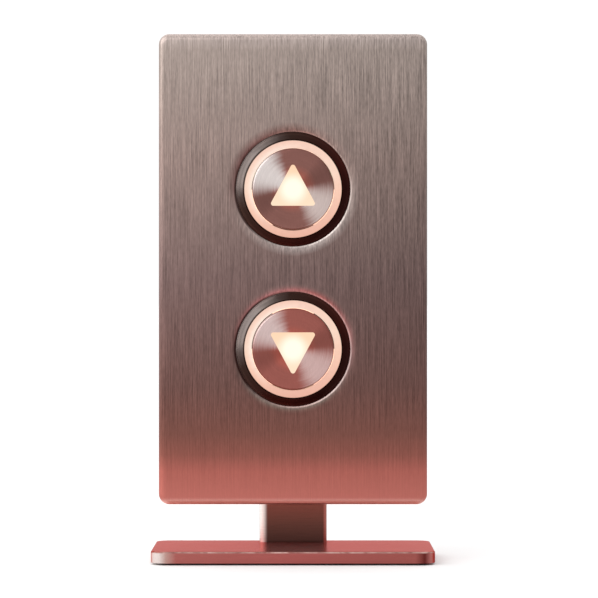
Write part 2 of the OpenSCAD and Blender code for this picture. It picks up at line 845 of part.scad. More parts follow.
module lamps(way) {
    lamp_front = board_front - lamp_h;
    color(arrow_glow) on_button(way) {
        for (i = [0 : halo_lamps - 1]) rotate(360 * (i + 0.5) / halo_lamps)
            translate([halo_lamp_r, 0, 0]) block([lamp_w, lamp_l], lamp_front, board_front);
        for (i = [0 : arrow_lamps - 1]) rotate(90 + 360 * i / arrow_lamps)
            translate([arrow_lamp_r, 0, 0]) block([lamp_w, lamp_l], lamp_front, board_front);
    }
}

faceplate();
rear_cover();
cover_brackets();
cover_screws();
weld_studs();
stud_nuts();
main_board();
board_screws();
terminal_block();
terminal_screws();
driver_chip();
capacitors();
cable_grommet();
press_nuts();
post();
post_screws();
base_plate();
base_screws();
foot_pad();
bezel(1);  // up_bezel
halo_ring(1);  // up_halo_ring
cap(1);  // up_cap
arrow_lens(1);  // up_arrow_lens
plunger(1);  // up_plunger
return_spring(1);  // up_return_spring
housing(1);  // up_housing
switch_body(1);  // up_switch_body
switch_plunger(1);  // up_switch_plunger
lamps(1);  // up_lamps
bezel(-1);  // down_bezel
halo_ring(-1);  // down_halo_ring
cap(-1);  // down_cap
arrow_lens(-1);  // down_arrow_lens
plunger(-1);  // down_plunger
return_spring(-1);  // down_return_spring
housing(-1);  // down_housing
switch_body(-1);  // down_switch_body
switch_plunger(-1);  // down_switch_plunger
lamps(-1);  // down_lamps
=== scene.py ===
import math

import bpy
from mathutils import Matrix, Vector


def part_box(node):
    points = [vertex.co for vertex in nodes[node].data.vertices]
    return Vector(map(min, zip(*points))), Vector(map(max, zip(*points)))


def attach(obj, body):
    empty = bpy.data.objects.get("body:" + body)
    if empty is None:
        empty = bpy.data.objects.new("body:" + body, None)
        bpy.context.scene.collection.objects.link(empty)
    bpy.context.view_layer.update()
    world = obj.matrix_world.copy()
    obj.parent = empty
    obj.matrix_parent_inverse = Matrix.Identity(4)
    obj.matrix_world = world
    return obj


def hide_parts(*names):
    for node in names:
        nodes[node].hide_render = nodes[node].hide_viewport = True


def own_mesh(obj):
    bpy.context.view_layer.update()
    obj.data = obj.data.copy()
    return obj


# Looks of an elevator call panel on a desk stand. Lengths are in metres.
# +Z is up and the panel faces -Y, as in the frame.
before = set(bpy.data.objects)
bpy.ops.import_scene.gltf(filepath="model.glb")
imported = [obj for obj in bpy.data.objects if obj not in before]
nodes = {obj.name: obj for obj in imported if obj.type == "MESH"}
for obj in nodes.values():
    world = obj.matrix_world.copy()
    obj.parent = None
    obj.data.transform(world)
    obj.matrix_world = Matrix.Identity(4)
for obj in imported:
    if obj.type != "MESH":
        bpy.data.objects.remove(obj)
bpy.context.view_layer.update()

MM = 0.001

# Places that follow from the frame
panel_low, panel_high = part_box("faceplate")
post_low, post_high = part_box("post")
base_low, base_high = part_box("base_plate")
BUTTONS = {}
for way in ("up", "down"):
    bezel_low, bezel_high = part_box(f"{way}_bezel")
    BUTTONS[way] = (bezel_low + bezel_high) / 2

# Radii round a button's axis, as the solids have them
CAP_R = 14.2 * MM
HALO_R = 16.85 * MM
HOLE_R = 19.9 * MM
DISH_R = 23.0 * MM

# Where the painted light and shade of a dish, and of the crest at its edge, start and are full
DISH_START, DISH_FULL = DISH_R + 0.4 * MM, HOLE_R + 0.6 * MM
CREST_START, CREST_FULL = HOLE_R + 0.8 * MM, HOLE_R + 0.4 * MM

# Brushed streaks on the sheet, width and length
FINE_STREAK = (0.42 * MM, 22 * MM)
SHORT_STREAK = (0.40 * MM, 2.5 * MM)
# How far below the top, or above the foot, the streaks start to turn and have turned
BEND_START, BEND_END = 0.8 * MM, 0.3 * MM

# The camera stands level in front of the panel, as in the photograph
CAMERA_PLACE = (2.1 * MM, -1058 * MM, 91.1 * MM)
CAMERA_LENS = 181.6
SENSOR = 36.0


# Node trees

class Tree:
    """A node tree with short calls to add and link nodes."""

    def __init__(self, node_tree):
        self.tree = node_tree

    def set(self, socket, value):
        """Links a value from another node to a socket, or sets a constant on it."""
        if isinstance(value, bpy.types.NodeSocket):
            self.tree.links.new(value, socket)
        elif isinstance(value, tuple) and socket.type == "RGBA":
            socket.default_value = (*value, 1.0)
        else:
            socket.default_value = value

    def add(self, kind, inputs=None, **settings):
        """Adds a node with its settings, and its inputs by number or name."""
        node = self.tree.nodes.new(kind)
        for key, value in settings.items():
            setattr(node, key, value)
        for key, value in (inputs or {}).items():
            self.set(node.inputs[key], value)
        return node

    def math(self, operation, a, b=0.0, c=0.0):
        return self.add("ShaderNodeMath", {0: a, 1: b, 2: c}, operation=operation).outputs[0]

    def spread(self, value, low, high, to_low=0.0, to_high=1.0, smooth=False):
        """The value carried from one range to another and held at its ends."""
        kind = "SMOOTHSTEP" if smooth else "LINEAR"
        return self.add(
            "ShaderNodeMapRange",
            {0: value, 1: low, 2: high, 3: to_low, 4: to_high},
            interpolation_type=kind,
        ).outputs[0]

    def swing(self, noise, low, high, reach=0.2):
        """Noise carried from its usual values, within reach of a half, to low and high."""
        return self.spread(noise, 0.5 - reach, 0.5 + reach, low, high)

    def ramp(self, value, stops):
        """A ramp of colours, with its stops given as place and colour."""
        node = self.add("ShaderNodeValToRGB", {0: value})
        marks = node.color_ramp.elements
        while len(marks) < len(stops):
            marks.new(0.5)
        for mark, (place, colour) in zip(marks, stops):
            mark.position = place
            mark.color = (*colour, 1.0)
        return node.outputs[0]

    def round_ramp(self, angle, stops):
        """A ramp round a button, with its stops given in degrees from -180 to 180."""
        return self.ramp(
            self.spread(angle, -math.pi, math.pi), [(0.5 + degrees / 360, colour) for degrees, colour in stops]
        )

    def blend(self, share, a, b):
        """Colour a where the share is 0, and b where it is 1."""
        node = self.add("ShaderNodeMix", data_type="RGBA")
        for socket, value in ((node.inputs[0], share), (node.inputs[6], a), (node.inputs[7], b)):
            self.set(socket, value)
        return node.outputs[2]

    def tinted(self, colour, level):
        """A colour times a level for each of its parts."""
        return self.add("ShaderNodeVectorMath", {0: colour, 1: level}, operation="MULTIPLY").outputs[0]

    def scale(self, colour, level):
        """A colour times one level."""
        return self.add("ShaderNodeVectorMath", {0: colour, "Scale": level}, operation="SCALE").outputs[0]

    def place(self):
        """Object coordinates, in metres."""
        return self.add("ShaderNodeTexCoord").outputs["Object"]

    def parts(self):
        """Object coordinates, as X, Y and Z."""
        return self.add("ShaderNodeSeparateXYZ", {0: self.place()}).outputs

    def polar(self, centre):
        """Angle and reach round a button's axis, seen from the front."""
        parts = self.parts()
        x = self.math("SUBTRACT", parts["X"], centre.x)
        z = self.math("SUBTRACT", parts["Z"], centre.z)
        reach = self.math("SQRT", self.math("MULTIPLY_ADD", x, x, self.math("MULTIPLY", z, z)))
        return self.math("ARCTAN2", z, x), reach

    def facing(self, angle, towards):
        """1 in a direction given in degrees from the right, and -1 across from it."""
        return self.math("COSINE", self.math("SUBTRACT", angle, math.radians(towards)))

    def noise(self, vector, detail=2.0, roughness=0.5):
        return self.add(
            "ShaderNodeTexNoise",
            {"Vector": vector, "Scale": 1.0, "Detail": detail, "Roughness": roughness},
        ).outputs[0]

    def grain(self, size, detail=2.0, roughness=0.5):
        """Noise whose lumps are about size metres along x, y and z."""
        scale = tuple(1.0 / s for s in size)
        mapped = self.add("ShaderNodeMapping", {"Vector": self.place(), "Scale": scale})
        return self.noise(mapped.outputs[0], detail, roughness)

    def ring_noise(self, reach, width, around):
        """Noise in rings about width metres wide that change slowly round a button."""
        ring = self.add("ShaderNodeCombineXYZ", {0: self.math("DIVIDE", reach, width), 1: around})
        return self.noise(ring.outputs[0], 3.0, 0.6)

    def bump(self, height, depth, strength=1.0):
        return self.add("ShaderNodeBump", {"Height": height, "Distance": depth, "Strength": strength}).outputs[0]


def socket_name(key):
    """A socket's name as Blender writes it: base_color gives Base Color."""
    return key.replace("_", " ").title().replace("Ior", "IOR")


def new_material(name, metallic=0.0, roughness=0.5, **constants):
    """A material with one Principled shader, and the tree to work on."""
    material = bpy.data.materials.new(name)
    material.use_nodes = True
    tree = Tree(material.node_tree)
    shader = material.node_tree.nodes["Principled BSDF"]
    shader.inputs["Metallic"].default_value = metallic
    shader.inputs["Roughness"].default_value = roughness
    for key, value in constants.items():
        tree.set(shader.inputs[socket_name(key)], value)
    return material, tree, shader


def feed(tree, shader, **sockets):
    """Links what the tree gives to the shader's inputs of those names."""
    for key, socket in sockets.items():
        tree.set(shader.inputs[socket_name(key)], socket)


def srgb(red, green, blue):
    """A colour given as it looks on screen, from 0 to 255, made linear."""
    def linear(value):
        share = value / 255
        return share / 12.92 if share <= 0.04045 else ((share + 0.055) / 1.055) ** 2.4
    return linear(red), linear(green), linear(blue)


# Finishes

# Painted reflection on the brushed steel up the panel, from its lower edge to its top: warm grey that turns
# to a dusky red near the foot, where red surroundings are painted in, with painted highlights on the lowest and top
# bends
PANEL_PAINTED_REFLECTION = [
    (0.000, srgb(250, 196, 186)),
    (0.013, srgb(177, 103, 94)),
    (0.070, srgb(163, 93, 84)),
    (0.105, srgb(134, 81, 72)),
    (0.150, srgb(116, 75, 67)),
    (0.250, srgb(103, 74, 69)),
    (0.480, srgb(111, 90, 87)),
    (0.730, srgb(137, 118, 112)),
    (0.965, srgb(154, 140, 133)),
    (0.985, srgb(166, 152, 146)),
    (1.000, srgb(190, 174, 168)),
]

# Painted light and shade: how much the dish round each hole, and the crest at its edge, are lit or shaded against the
# plate, by direction in degrees from the right
DISH_PAINTED_LIGHT = {
    "up": [
        (-180, (0.58, 0.48, 0.48)), (-138, (1.45, 1.60, 1.60)), (-75, (1.95, 2.45, 2.50)), (20, (1.25, 1.25, 1.25)),
        (90, (0.68, 0.48, 0.46)), (150, (0.48, 0.30, 0.31)), (180, (0.58, 0.48, 0.48)),
    ],
    "down": [
        (-180, (0.70, 0.65, 0.65)), (-150, (0.90, 1.10, 1.10)), (-120, (1.45, 2.45, 2.45)), (-60, (1.10, 1.90, 1.90)),
        (0, (2.00, 1.80, 1.90)), (60, (2.20, 1.00, 1.00)), (105, (2.50, 1.50, 1.60)), (180, (0.70, 0.65, 0.65)),
    ],
}
CREST_PAINTED_LIGHT = {
    "up": [
        (-180, (0.20, 0.14, 0.14)), (-145, (0.35, 0.30, 0.30)), (-50, (3.70, 4.80, 4.90)), (10, (2.00, 2.10, 2.10)),
        (75, (1.05, 0.75, 0.72)), (140, (0.30, 0.18, 0.18)), (180, (0.20, 0.14, 0.14)),
    ],
    "down": [
        (-180, (0.20, 0.13, 0.13)), (-145, (0.30, 0.25, 0.25)), (-45, (4.60, 7.20, 7.80)), (15, (3.70, 3.60, 3.70)),
        (70, (2.70, 1.75, 1.75)), (130, (0.40, 0.28, 0.28)), (180, (0.20, 0.13, 0.13)),
    ],
}
# How steeply each dish's painted light and shade fade into the plate
DISH_LIGHT_FADE = {"up": 1.0, "down": 3.0}


def brushed(tree, width, length, **grain):
    """Streaks up and down the sheet, and from front to back where its top and foot are bent over."""
    upright = tree.grain((width, width, length), **grain)
    bent_over = tree.grain((width, length, width), **grain)
    half_height = (panel_high.z - panel_low.z) / 2
    from_middle = tree.math("ABSOLUTE", tree.math("SUBTRACT", tree.parts()["Z"], panel_low.z + half_height))
    on_bend = tree.spread(from_middle, half_height - BEND_START, half_height - BEND_END)
    return tree.math("MULTIPLY_ADD", on_bend, tree.math("SUBTRACT", bent_over, upright), upright)


def hairline_steel(name, painted_dishes=False):
    """Stainless sheet brushed up and down, with fine streaks, a painted reflection up its height, painted shade
    towards the right, a painted highlight on its left edge and, where asked, painted light and shade in the dishes
    round its holes.
    """
    material, tree, shader = new_material(name, metallic=1.0, anisotropic=0.55)
    parts = tree.parts()
    height = tree.spread(parts["Z"], panel_low.z, panel_high.z)
    plate = tree.ramp(height, PANEL_PAINTED_REFLECTION)
    colour = plate
    for way, centre in BUTTONS.items() if painted_dishes else ():
        # Painted light and shade in each dish and along its crest
        angle, reach = tree.polar(centre)
        dish = tree.math("POWER", tree.spread(reach, DISH_START, DISH_FULL), DISH_LIGHT_FADE[way])
        colour = tree.blend(dish, colour, tree.tinted(plate, tree.round_ramp(angle, DISH_PAINTED_LIGHT[way])))
        crest = tree.spread(reach, CREST_START, CREST_FULL, smooth=True)
        colour = tree.blend(crest, colour, tree.tinted(plate, tree.round_ramp(angle, CREST_PAINTED_LIGHT[way])))
    # Painted shade, darker towards the right, most of all at mid height
    side = tree.spread(parts["X"], panel_low.x, panel_high.x, 1.0, -1.0)
    lean = tree.math(
        "ADD", tree.spread(height, 0.15, 0.45, 0.03, 0.22), tree.spread(height, 0.6, 0.95, 0.0, -0.09)
    )
    # A painted highlight on the left edge, below the upper button
    left_highlight = tree.spread(parts["X"], panel_low.x, panel_low.x + 3.2 * MM, 0.20, 0.0)
    lift = tree.math("MULTIPLY_ADD", left_highlight, tree.spread(height, 0.5, 0.8, 1.0, 0.0), 1.0)
    across = tree.math("MULTIPLY_ADD", side, lean, lift)
    # Streaks that fade in the painted red reflection at the foot and are strongest at the upper right
    fine = brushed(tree, *FINE_STREAK, detail=3.0, roughness=0.7)
    short = brushed(tree, *SHORT_STREAK)
    streak = tree.math("ADD", tree.swing(fine, -0.31, 0.31), tree.swing(short, -0.12, 0.12))
    right = tree.math("MULTIPLY", tree.spread(side, -1.0, 1.0, 0.5, 0.0), tree.spread(height, 0.2, 0.6))
    depth = tree.math("MULTIPLY", tree.spread(height, 0.04, 0.22, 0.24, 1.0), tree.math("ADD", right, 1.0))
    level = tree.math("MULTIPLY", tree.math("MULTIPLY_ADD", streak, depth, 1.0), across)
    feed(
        tree, shader,
        base_color=tree.scale(colour, level),
        roughness=tree.swing(fine, 0.30, 0.42, reach=0.25),
        normal=tree.bump(fine, 0.012 * MM, 0.5),
    )
    return material


# Each cap's painted light: the direction of its upper painted highlight lobe, in degrees from the right, and its
# shades: a painted glow of the arrow beside the arrow, a painted reflection further out, and painted highlights in
# its lower and upper lobes
CAP_LOOKS = {
    "up": (150, srgb(158, 92, 80), srgb(129, 88, 81), srgb(190, 173, 168), srgb(203, 193, 190)),
    "down": (142, srgb(168, 88, 76), srgb(147, 86, 78), srgb(190, 159, 155), srgb(194, 171, 168)),
}


def turned_steel(name, centre, looks):
    """Steel faced on a lathe: fine rings round the middle, with two soft painted highlight lobes across them, painted
    shade beside them and a painted glow of the arrow near the middle.
    """
    highlight_angle, arrow_glow, further_out, lower_highlight, upper_highlight = looks
    material, tree, shader = new_material(name, metallic=1.0, anisotropic=0.5, anisotropic_rotation=0.25)
    tangent = tree.add("ShaderNodeTangent", direction_type="RADIAL", axis="Y")
    angle, reach = tree.polar(centre)
    around = tree.facing(angle, 0)
    rings = tree.ring_noise(reach, 0.3 * MM, around)
    arcs = tree.ring_noise(reach, 0.6 * MM, around)
    hair = tree.grain((0.25 * MM, 1.0 * MM, 2.5 * MM), detail=3.0, roughness=0.6)
    turn = tree.math("SUBTRACT", angle, math.radians(highlight_angle))
    two_lobes = tree.math("COSINE", tree.math("MULTIPLY", turn, 2.0))
    lobe = tree.math("ADD", two_lobes, tree.swing(arcs, -0.11, 0.11))
    bright = tree.spread(lobe, 0.0, 1.0, smooth=True)
    dim = tree.blend(tree.spread(reach, 4.5 * MM, 9 * MM, smooth=True), arrow_glow, further_out)
    # Painted shade in a darker band beside each lobe
    painted_dark_band = tree.spread(tree.math("COSINE", tree.math("MULTIPLY_ADD", turn, 2.0, math.radians(-108))), 0.6, 1.0)
    dim = tree.scale(dim, tree.math("MULTIPLY_ADD", painted_dark_band, -0.28, 1.0))
    light = tree.blend(tree.spread(tree.math("COSINE", turn), -0.6, 0.6, smooth=True), lower_highlight, upper_highlight)
    level = tree.math("ADD", tree.swing(rings, 0.93, 1.07), tree.swing(hair, -0.06, 0.06))
    feed(
        tree, shader,
        base_color=tree.scale(tree.blend(bright, dim, light), level),
        roughness=tree.swing(rings, 0.28, 0.40, reach=0.25),
        normal=tree.bump(rings, 0.01 * MM, 0.4),
        tangent=tangent.outputs[0],
    )
    return material


def gunmetal(name, centre):
    """Dark polished ring with painted light: a grey painted highlight on its upper left, a painted brown reflection
    elsewhere, painted shade darkest beside the lit ring, and a painted highlight towards its outer edge.
    """
    material, tree, shader = new_material(name, metallic=1.0)
    angle, reach = tree.polar(centre)
    cloud = tree.grain((3 * MM, 3 * MM, 3 * MM), detail=3.0)
    turn = tree.math("ADD", tree.facing(angle, 147), tree.swing(cloud, -0.03, 0.03))
    # Painted light round the ring: grey highlight to the upper left, brown reflection and shade to the lower right
    shade = tree.ramp(
        tree.spread(turn, -1.0, 1.0),
        [
            (0.05, srgb(35, 13, 11)),
            (0.25, srgb(52, 20, 16)),
            (0.50, srgb(50, 25, 21)),
            (0.80, srgb(52, 36, 31)),
            (0.88, srgb(70, 57, 54)),
            (0.95, srgb(112, 101, 97)),
            (1.00, srgb(106, 97, 94)),
        ],
    )
    # Painted shade beside the lit ring, and a painted highlight towards the outer edge
    inner = tree.spread(reach, HALO_R + 0.3 * MM, HALO_R + 0.55 * MM, 0.3, 1.0, smooth=True)
    outer = tree.spread(reach, HOLE_R - 1.3 * MM, HOLE_R - 0.3 * MM, 0.95, 1.7)
    feed(
        tree, shader,
        base_color=tree.scale(shade, tree.math("MULTIPLY", inner, outer)),
        roughness=tree.swing(cloud, 0.20, 0.27),
    )
    return material


def lit_ring(name, centre):
    """Opal light guide that glows peach, dullest at its foot, with a painted highlight on its inner upper left."""
    material, tree, shader = new_material(
        name, roughness=0.45, ior=1.3, emission_strength=1.0, base_color=(0.05, 0.035, 0.03)
    )
    angle, reach = tree.polar(centre)
    milk = tree.swing(tree.grain((1.5 * MM, 1.5 * MM, 1.5 * MM)), 0.97, 1.03)
    glow = tree.ramp(
        tree.spread(tree.facing(angle, 100), -1.0, 1.0),
        [
            (0.00, srgb(227, 172, 152)),
            (0.40, srgb(242, 196, 173)),
            (0.60, srgb(242, 209, 189)),
            (1.00, srgb(239, 199, 181)),
        ],
    )
    # A painted highlight on the inner upper left, beside the cap
    inner_highlight = tree.math(
        "MULTIPLY",
        tree.spread(reach, CAP_R + 0.3 * MM, CAP_R + 2.2 * MM, 1.0, 0.0, smooth=True),
        tree.spread(tree.facing(angle, 155), 0.1, 0.95, 0.05, 0.65),
    )
    glow = tree.blend(inner_highlight, glow, srgb(252, 238, 224))
    feed(tree, shader, emission_color=tree.scale(glow, milk))
    return material


def lit_arrow(name, centre):
    """Opal arrow lens, brightest over the lamps in the button's middle."""
    material, tree, shader = new_material(
        name, roughness=0.4, ior=1.3, emission_strength=1.0, base_color=(0.05, 0.04, 0.03)
    )
    _, reach = tree.polar(centre)
    up = tree.math("SUBTRACT", tree.parts()["Z"], centre.z)
    outer = tree.blend(tree.spread(up, -6 * MM, 9 * MM), srgb(250, 222, 193), srgb(249, 206, 170))
    glow = tree.blend(tree.spread(reach, 2 * MM, 6.5 * MM, smooth=True), srgb(254, 252, 232), outer)
    feed(tree, shader, emission_color=glow)
    return material


def satin_post():
    """Flat bar in satin steel with a painted dusky reflection below the panel, a painted shadow line at its foot, and
    painted highlights on its upright front edges below the panel.
    """
    material, tree, shader = new_material("satin_post", metallic=1.0)
    parts = tree.parts()
    height = tree.spread(parts["Z"], post_low.z, post_high.z)
    below = (panel_low.z - post_low.z) / (post_high.z - post_low.z)
    # Painted reflection up the post, darkest in a painted shadow line at its foot
    shade = tree.ramp(
        height,
        [
            (0.0, srgb(62, 47, 42)),
            (0.04 * below, srgb(82, 63, 57)),
            (0.45 * below, srgb(99, 63, 55)),
            (below, srgb(127, 69, 59)),
            (1.6 * below, srgb(124, 84, 76)),
            (1.0, srgb(132, 108, 102)),
        ],
    )
    # Painted highlights on the upright edges, on the bare front below the panel
    in_front = tree.spread(parts["Y"], post_low.y + 0.8 * MM, post_low.y + 2.0 * MM, 1.0, 0.0)
    bare = tree.math("MULTIPLY", tree.spread(height, below, 1.5 * below, 1.0, 0.0), in_front)
    left = tree.spread(parts["X"], post_low.x + 1.2 * MM, post_low.x + 3.0 * MM, 1.0, 0.0, smooth=True)
    right = tree.spread(parts["X"], post_high.x - 1.5 * MM, post_high.x - 0.7 * MM, smooth=True)
    shade = tree.blend(tree.math("MULTIPLY", left, bare), shade, srgb(242, 232, 226))
    shade = tree.blend(tree.math("MULTIPLY", right, bare), shade, srgb(154, 90, 80))
    lines = tree.grain((9 * MM, 9 * MM, 0.25 * MM), detail=3.0, roughness=0.6)
    feed(
        tree, shader,
        base_color=tree.scale(shade, tree.swing(lines, 0.9, 1.1)),
        roughness=tree.swing(lines, 0.26, 0.36, reach=0.25),
        normal=tree.bump(lines, 0.008 * MM, 0.4),
    )
    return material


# Painted reflection along the base plate's walls, from its left end to its right: a painted highlight on the pale
# left end, a rosy reflection along the front, and a painted dark band and highlight near the right end
BASE_WALL_REFLECTION = [
    (0.000, srgb(224, 210, 205)),
    (0.030, srgb(218, 204, 199)),
    (0.055, srgb(180, 142, 134)),
    (0.090, srgb(163, 92, 87)),
    (0.500, srgb(162, 87, 83)),
    (0.930, srgb(151, 82, 77)),
    (0.963, srgb(92, 33, 31)),
    (0.985, srgb(166, 101, 97)),
    (1.000, srgb(150, 74, 69)),
]


def satin_base():
    """Base plate in satin steel with a painted rosy reflection, a red edge tint that paints in the red surroundings,
    and a painted highlight along its top edge; smooth enough to mirror the post.
    """
    material, tree, shader = new_material(
        "satin_base", metallic=0.93, specular_ior_level=0.0, specular_tint=(0.60, 0.06, 0.04)
    )
    parts = tree.parts()
    top = base_high.z
    on_top = tree.spread(parts["Z"], top - 0.06 * MM, top - 0.02 * MM)
    on_edge = tree.spread(parts["Z"], top - 0.65 * MM, top - 0.4 * MM, smooth=True)
    fine = tree.grain((12 * MM, 0.3 * MM, 0.3 * MM), detail=3.0, roughness=0.6)
    speckle = tree.grain((3 * MM, 3 * MM, 3 * MM), detail=4.0, roughness=0.7)
    wall = tree.ramp(tree.spread(parts["X"], base_low.x, base_high.x), BASE_WALL_REFLECTION)
    # A painted highlight along the top edge, speckled, and a painted rosy reflection on the top face
    edge = tree.ramp(speckle, [(0.38, srgb(146, 96, 90)), (0.62, srgb(200, 166, 158))])
    face = tree.ramp(speckle, [(0.3, srgb(208, 164, 158)), (0.7, srgb(220, 176, 170))])
    shade = tree.blend(on_top, tree.blend(on_edge, wall, edge), face)
    feed(
        tree, shader,
        base_color=tree.scale(shade, tree.swing(fine, 0.94, 1.06)),
        roughness=tree.swing(fine, 0.17, 0.26, reach=0.25),
        normal=tree.bump(fine, 0.006 * MM, 0.3),
    )
    return material


def plated_steel(name, colour, roughness=0.3):
    """Bright metal with the faint cloudiness of plating."""
    material, tree, shader = new_material(name, metallic=1.0)
    cloud = tree.grain((1.2 * MM, 1.2 * MM, 1.2 * MM), detail=4.0, roughness=0.6)
    dark = tuple(0.82 * c for c in colour)
    feed(
        tree, shader,
        base_color=tree.ramp(cloud, [(0.3, dark), (0.7, colour)]),
        roughness=tree.swing(cloud, roughness - 0.06, roughness + 0.08),
        normal=tree.bump(cloud, 0.01 * MM, 0.2),
    )
    return material


def moulded(name, colour, roughness=0.5, pebble=0.25, **constants):
    """Moulded plastic or rubber with a fine spark-eroded texture."""
    material, tree, shader = new_material(name, **constants)
    texture = tree.grain((pebble * MM, pebble * MM, pebble * MM), detail=3.0, roughness=0.6)
    light = tuple(min(1.0, 1.15 * c + 0.004) for c in colour)
    feed(
        tree, shader,
        base_color=tree.ramp(texture, [(0.3, colour), (0.7, light)]),
        roughness=tree.swing(texture, roughness - 0.06, roughness + 0.08),
        normal=tree.bump(texture, 0.03 * MM, 0.3),
    )
    return material


def circuit_board():
    """Green solder mask with the paler tracks that show through it."""
    material, tree, shader = new_material("circuit_board", roughness=0.35)
    flat = tree.add("ShaderNodeMapping", {"Vector": tree.place(), "Rotation": (math.radians(90), 0.0, 0.0)})
    tracks = tree.add(
        "ShaderNodeTexBrick",
        {
            "Vector": flat.outputs[0], "Scale": 1.0, "Mortar Size": 0.35 * MM,
            "Brick Width": 9 * MM, "Row Height": 3 * MM,
        },
    )
    colour = tree.blend(tracks.outputs["Fac"], srgb(24, 78, 50), srgb(56, 116, 76))
    feed(tree, shader, base_color=colour, normal=tree.bump(tracks.outputs["Fac"], 0.03 * MM, 0.5))
    return material


# Meshes

def new_piece(name, mesh, body, slot, *stands_for):
    """Adds a finished mesh to the scene, riding on a body and standing for CAD nodes."""
    piece = bpy.data.objects.new(name, mesh)
    bpy.context.scene.collection.objects.link(piece)
    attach(piece, body)
    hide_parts(*stands_for)
    return piece


def grow(name, group, sizes, start=None):
    """Runs a node group over a start mesh and gives back the result as a plain mesh."""
    carrier = bpy.data.objects.new(name, start or bpy.data.meshes.new(name))
    bpy.context.scene.collection.objects.link(carrier)
    modifier = carrier.modifiers.new("nodes", "NODES")
    modifier.node_group = group
    for item in group.interface.items_tree:
        if item.in_out == "INPUT" and item.name in sizes:
            modifier[item.identifier] = sizes[item.name]
    evaluated = carrier.evaluated_get(bpy.context.evaluated_depsgraph_get())
    mesh = bpy.data.meshes.new_from_object(evaluated)
    carrier.modifiers.clear()
    bpy.data.objects.remove(carrier)
    mesh.name = name
    return mesh


def new_group(name, **inputs):
    """A geometry node group with a geometry input and output and the named inputs."""
    group = bpy.data.node_groups.new(name, "GeometryNodeTree")
    group.interface.new_socket("Geometry", in_out="INPUT", socket_type="NodeSocketGeometry")
    for key, kind in inputs.items():
        group.interface.new_socket(socket_name(key), in_out="INPUT", socket_type=f"NodeSocket{kind}")
    group.interface.new_socket("Geometry", in_out="OUTPUT", socket_type="NodeSocketGeometry")
    tree = Tree(group)
    return group, tree, tree.add("NodeGroupInput").outputs


# Edges bent by more than this stay crisp, and the rest are shaded smooth
CRISP_EDGE = math.radians(45)


def end_group(tree, geometry, finish):
    """Ends a group with real geometry in its finish, shaded smooth between its crisp edges."""
    real = tree.add("GeometryNodeRealizeInstances", {0: geometry})
    smooth = tree.add("GeometryNodeSetShadeSmooth", {0: real.outputs[0]})
    bend = tree.add("GeometryNodeInputMeshEdgeAngle").outputs["Unsigned Angle"]
    crisp = tree.add(
        "GeometryNodeSetShadeSmooth",
        {0: smooth.outputs[0], "Selection": tree.math("GREATER_THAN", bend, CRISP_EDGE), "Shade Smooth": False},
        domain="EDGE",
    )
    dressed = tree.add("GeometryNodeSetMaterial", {0: crisp.outputs[0], "Material": finish})
    tree.add("NodeGroupOutput", {0: dressed.outputs[0]})


def coil_spring_group():
    """A compression spring along +Y whose end turns lie close together."""
    group, tree, given = new_group(
        "coil_spring", turns="Float", closed_turns="Float", coil_radius="Float", wire_radius="Float",
        length="Float", place="Vector", finish="Material",
    )
    spiral = tree.add(
        "GeometryNodeCurveSpiral",
        {
            "Resolution": 40, "Rotations": given["Turns"], "Height": 0.0,
            "Start Radius": given["Coil Radius"], "End Radius": given["Coil Radius"],
        },
    )
    along = tree.add("GeometryNodeSplineParameter").outputs["Factor"]
    closed = tree.math("DIVIDE", given["Closed Turns"], given["Turns"])
    far = tree.math("SUBTRACT", 1.0, closed)
    end_rise = tree.math("MULTIPLY", tree.math("MULTIPLY", given["Wire Radius"], 2.1), given["Closed Turns"])
    open_rise = tree.math("MULTIPLY_ADD", end_rise, -2.0, given["Length"])
    first = tree.spread(along, 0.0, closed, 0.0, end_rise)
    middle = tree.spread(along, closed, far, 0.0, open_rise)
    last = tree.spread(along, far, 1.0, 0.0, end_rise)
    rise = tree.math("ADD", tree.math("ADD", first, middle), last)
    offset = tree.add("ShaderNodeCombineXYZ", {2: rise}).outputs[0]
    path = tree.add("GeometryNodeSetPosition", {"Geometry": spiral.outputs[0], "Offset": offset})
    section = tree.add("GeometryNodeCurvePrimitiveCircle", {"Resolution": 12, "Radius": given["Wire Radius"]})
    wire = tree.add(
        "GeometryNodeCurveToMesh",
        {"Curve": path.outputs[0], "Profile Curve": section.outputs[0], "Fill Caps": True},
    )
    turned = tree.add(
        "GeometryNodeTransform",
        {"Geometry": wire.outputs[0], "Rotation": (math.radians(-90), 0.0, 0.0), "Translation": given["Place"]},
    )
    end_group(tree, turned.outputs[0], given["Finish"])
    return group


def set_out_group():
    """Sets one fastener on each point, each turned by chance about its own axis."""
    group, tree, given = new_group("set_out", fastener="Object", axis="Vector", seed="Int", finish="Material")
    model = tree.add("GeometryNodeObjectInfo", {"Object": given["Fastener"]})
    turn = tree.add("FunctionNodeRandomValue", {"Max": math.tau, "Seed": given["Seed"]}, data_type="FLOAT")
    spin = tree.add(
        "ShaderNodeVectorMath", {0: given["Axis"], "Scale": turn.outputs[1]}, operation="SCALE"
    ).outputs[0]
    points = tree.add("GeometryNodeMeshToPoints", {"Mesh": given["Geometry"]})
    set_out = tree.add(
        "GeometryNodeInstanceOnPoints",
        {"Points": points.outputs[0], "Instance": model.outputs["Geometry"], "Rotation": spin},
    )
    end_group(tree, set_out.outputs[0], given["Finish"])
    return group


# Points on each loop of a turned piece
LOOP_POINTS = 48


